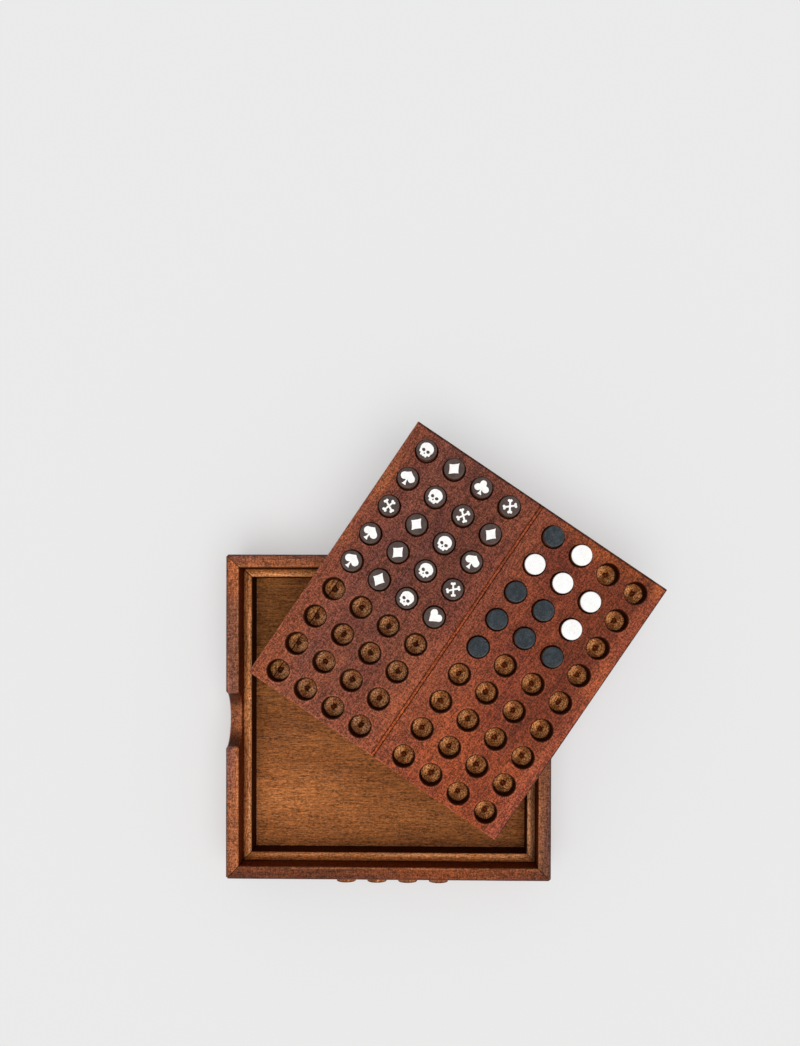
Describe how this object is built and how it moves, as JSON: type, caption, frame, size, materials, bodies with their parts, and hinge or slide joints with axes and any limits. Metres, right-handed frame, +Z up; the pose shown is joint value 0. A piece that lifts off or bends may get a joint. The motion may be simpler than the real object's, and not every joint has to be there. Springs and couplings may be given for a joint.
{
  "type": "code-breaking peg game",
  "caption": "Wooden code-breaking peg game: mitred tray with inner ledge and thumb notch, drilled peg board lying turned on its rim, symbol pegs, scoring pegs and secret pegs in the front.",
  "frame": {"origin": "centre of the tray's underside, where it stands on the table", "axes": "+Z up; +X to the right along the front wall; -Y out of the front wall, the one that holds the secret pegs; the thumb notch is in the left wall, on -X"},
  "size_m": [0.202, 0.2161, 0.0516],
  "materials": {
    "tray_wood": "brown stain, satin",
    "ledge_wood": "brown stain, satin",
    "floor_veneer": "stained plywood, satin",
    "board_wood": "red-brown stain, satin",
    "peg_wood": "brown stain, satin",
    "code_peg_symbol": "brown stained peg, dark painted end with a white symbol, matte",
    "score_peg_black": "brown stained peg, black painted end, matte",
    "score_peg_white": "brown stained peg, white painted end, matte"
  },
  "bodies": {
    "tray": {"wall_back": "tray_wood", "wall_left": "tray_wood", "wall_right": "tray_wood", "wall_front": "tray_wood", "ledge_back": "ledge_wood", "ledge_left": "ledge_wood", "ledge_right": "ledge_wood", "ledge_front": "ledge_wood", "floor_panel": "floor_veneer"},
    "board": {"board_main_panel": "board_wood", "board_edge_stave": "board_wood"},
    "secret_peg_1": {"secret_peg_1": "peg_wood"},
    "secret_peg_2": {"secret_peg_2": "peg_wood"},
    "secret_peg_3": {"secret_peg_3": "peg_wood"},
    "secret_peg_4": {"secret_peg_4": "peg_wood"},
    "score_peg_row1_1": {"score_peg_row1_1_black": "score_peg_black"},
    "score_peg_row1_2": {"score_peg_row1_2_white": "score_peg_white"},
    "score_peg_row2_1": {"score_peg_row2_1_white": "score_peg_white"},
    "score_peg_row2_2": {"score_peg_row2_2_white": "score_peg_white"},
    "score_peg_row2_3": {"score_peg_row2_3_white": "score_peg_white"},
    "score_peg_row3_1": {"score_peg_row3_1_black": "score_peg_black"},
    "score_peg_row3_2": {"score_peg_row3_2_black": "score_peg_black"},
    "score_peg_row3_3": {"score_peg_row3_3_white": "score_peg_white"},
    "score_peg_row4_1": {"score_peg_row4_1_black": "score_peg_black"},
    "score_peg_row4_2": {"score_peg_row4_2_black": "score_peg_black"},
    "score_peg_row4_3": {"score_peg_row4_3_black": "score_peg_black"},
    "score_peg_row5_1": {"score_peg_row5_1_black": "score_peg_black"},
    "code_peg_row1_1": {"code_peg_row1_1_skull": "code_peg_symbol"},
    "code_peg_row1_2": {"code_peg_row1_2_diamond": "code_peg_symbol"},
    "code_peg_row1_3": {"code_peg_row1_3_club": "code_peg_symbol"},
    "code_peg_row1_4": {"code_peg_row1_4_bones": "code_peg_symbol"},
    "code_peg_row2_1": {"code_peg_row2_1_spade": "code_peg_symbol"},
    "code_peg_row2_2": {"code_peg_row2_2_skull": "code_peg_symbol"},
    "code_peg_row2_3": {"code_peg_row2_3_bones": "code_peg_symbol"},
    "code_peg_row2_4": {"code_peg_row2_4_diamond": "code_peg_symbol"},
    "code_peg_row3_1": {"code_peg_row3_1_bones": "code_peg_symbol"},
    "code_peg_row3_2": {"code_peg_row3_2_diamond": "code_peg_symbol"},
    "code_peg_row3_3": {"code_peg_row3_3_skull": "code_peg_symbol"},
    "code_peg_row3_4": {"code_peg_row3_4_spade": "code_peg_symbol"},
    "code_peg_row4_1": {"code_peg_row4_1_spade": "code_peg_symbol"},
    "code_peg_row4_2": {"code_peg_row4_2_diamond": "code_peg_symbol"},
    "code_peg_row4_3": {"code_peg_row4_3_skull": "code_peg_symbol"},
    "code_peg_row4_4": {"code_peg_row4_4_bones": "code_peg_symbol"},
    "code_peg_row5_1": {"code_peg_row5_1_spade": "code_peg_symbol"},
    "code_peg_row5_2": {"code_peg_row5_2_diamond": "code_peg_symbol"},
    "code_peg_row5_3": {"code_peg_row5_3_skull": "code_peg_symbol"},
    "code_peg_row5_4": {"code_peg_row5_4_heart": "code_peg_symbol"}
  },
  "joints": [
    {"name": "board_lift", "type": "slide", "parent": "tray", "child": "board", "axis": [0, 0, 1], "range_m": [0, 0.08]},
    {"name": "secret_peg_1_pull", "type": "slide", "parent": "tray", "child": "secret_peg_1", "axis": [0, -1, 0], "range_m": [0, 0.012]},
    {"name": "secret_peg_2_pull", "type": "slide", "parent": "tray", "child": "secret_peg_2", "axis": [0, -1, 0], "range_m": [0, 0.012]},
    {"name": "secret_peg_3_pull", "type": "slide", "parent": "tray", "child": "secret_peg_3", "axis": [0, -1, 0], "range_m": [0, 0.012]},
    {"name": "secret_peg_4_pull", "type": "slide", "parent": "tray", "child": "secret_peg_4", "axis": [0, -1, 0], "range_m": [0, 0.012]},
    {"name": "score_peg_row1_1_lift", "type": "slide", "parent": "board", "child": "score_peg_row1_1", "axis": [0, 0, 1], "range_m": [0, 0.012]},
    {"name": "score_peg_row1_2_lift", "type": "slide", "parent": "board", "child": "score_peg_row1_2", "axis": [0, 0, 1], "range_m": [0, 0.012]},
    {"name": "score_peg_row2_1_lift", "type": "slide", "parent": "board", "child": "score_peg_row2_1", "axis": [0, 0, 1], "range_m": [0, 0.012]},
    {"name": "score_peg_row2_2_lift", "type": "slide", "parent": "board", "child": "score_peg_row2_2", "axis": [0, 0, 1], "range_m": [0, 0.012]},
    {"name": "score_peg_row2_3_lift", "type": "slide", "parent": "board", "child": "score_peg_row2_3", "axis": [0, 0, 1], "range_m": [0, 0.012]},
    {"name": "score_peg_row3_1_lift", "type": "slide", "parent": "board", "child": "score_peg_row3_1", "axis": [0, 0, 1], "range_m": [0, 0.012]},
    {"name": "score_peg_row3_2_lift", "type": "slide", "parent": "board", "child": "score_peg_row3_2", "axis": [0, 0, 1], "range_m": [0, 0.012]},
    {"name": "score_peg_row3_3_lift", "type": "slide", "parent": "board", "child": "score_peg_row3_3", "axis": [0, 0, 1], "range_m": [0, 0.012]},
    {"name": "score_peg_row4_1_lift", "type": "slide", "parent": "board", "child": "score_peg_row4_1", "axis": [0, 0, 1], "range_m": [0, 0.012]},
    {"name": "score_peg_row4_2_lift", "type": "slide", "parent": "board", "child": "score_peg_row4_2", "axis": [0, 0, 1], "range_m": [0, 0.012]},
    {"name": "score_peg_row4_3_lift", "type": "slide", "parent": "board", "child": "score_peg_row4_3", "axis": [0, 0, 1], "range_m": [0, 0.012]},
    {"name": "score_peg_row5_1_lift", "type": "slide", "parent": "board", "child": "score_peg_row5_1", "axis": [0, 0, 1], "range_m": [0, 0.012]},
    {"name": "code_peg_row1_1_lift", "type": "slide", "parent": "board", "child": "code_peg_row1_1", "axis": [0, 0, 1], "range_m": [0, 0.012]},
    {"name": "code_peg_row1_2_lift", "type": "slide", "parent": "board", "child": "code_peg_row1_2", "axis": [0, 0, 1], "range_m": [0, 0.012]},
    {"name": "code_peg_row1_3_lift", "type": "slide", "parent": "board", "child": "code_peg_row1_3", "axis": [0, 0, 1], "range_m": [0, 0.012]},
    {"name": "code_peg_row1_4_lift", "type": "slide", "parent": "board", "child": "code_peg_row1_4", "axis": [0, 0, 1], "range_m": [0, 0.012]},
    {"name": "code_peg_row2_1_lift", "type": "slide", "parent": "board", "child": "code_peg_row2_1", "axis": [0, 0, 1], "range_m": [0, 0.012]},
    {"name": "code_peg_row2_2_lift", "type": "slide", "parent": "board", "child": "code_peg_row2_2", "axis": [0, 0, 1], "range_m": [0, 0.012]},
    {"name": "code_peg_row2_3_lift", "type": "slide", "parent": "board", "child": "code_peg_row2_3", "axis": [0, 0, 1], "range_m": [0, 0.012]},
    {"name": "code_peg_row2_4_lift", "type": "slide", "parent": "board", "child": "code_peg_row2_4", "axis": [0, 0, 1], "range_m": [0, 0.012]},
    {"name": "code_peg_row3_1_lift", "type": "slide", "parent": "board", "child": "code_peg_row3_1", "axis": [0, 0, 1], "range_m": [0, 0.012]},
    {"name": "code_peg_row3_2_lift", "type": "slide", "parent": "board", "child": "code_peg_row3_2", "axis": [0, 0, 1], "range_m": [0, 0.012]},
    {"name": "code_peg_row3_3_lift", "type": "slide", "parent": "board", "child": "code_peg_row3_3", "axis": [0, 0, 1], "range_m": [0, 0.012]},
    {"name": "code_peg_row3_4_lift", "type": "slide", "parent": "board", "child": "code_peg_row3_4", "axis": [0, 0, 1], "range_m": [0, 0.012]},
    {"name": "code_peg_row4_1_lift", "type": "slide", "parent": "board", "child": "code_peg_row4_1", "axis": [0, 0, 1], "range_m": [0, 0.012]},
    {"name": "code_peg_row4_2_lift", "type": "slide", "parent": "board", "child": "code_peg_row4_2", "axis": [0, 0, 1], "range_m": [0, 0.012]},
    {"name": "code_peg_row4_3_lift", "type": "slide", "parent": "board", "child": "code_peg_row4_3", "axis": [0, 0, 1], "range_m": [0, 0.012]},
    {"name": "code_peg_row4_4_lift", "type": "slide", "parent": "board", "child": "code_peg_row4_4", "axis": [0, 0, 1], "range_m": [0, 0.012]},
    {"name": "code_peg_row5_1_lift", "type": "slide", "parent": "board", "child": "code_peg_row5_1", "axis": [0, 0, 1], "range_m": [0, 0.012]},
    {"name": "code_peg_row5_2_lift", "type": "slide", "parent": "board", "child": "code_peg_row5_2", "axis": [0, 0, 1], "range_m": [0, 0.012]},
    {"name": "code_peg_row5_3_lift", "type": "slide", "parent": "board", "child": "code_peg_row5_3", "axis": [0, 0, 1], "range_m": [0, 0.012]},
    {"name": "code_peg_row5_4_lift", "type": "slide", "parent": "board", "child": "code_peg_row5_4", "axis": [0, 0, 1], "range_m": [0, 0.012]}
  ]
}
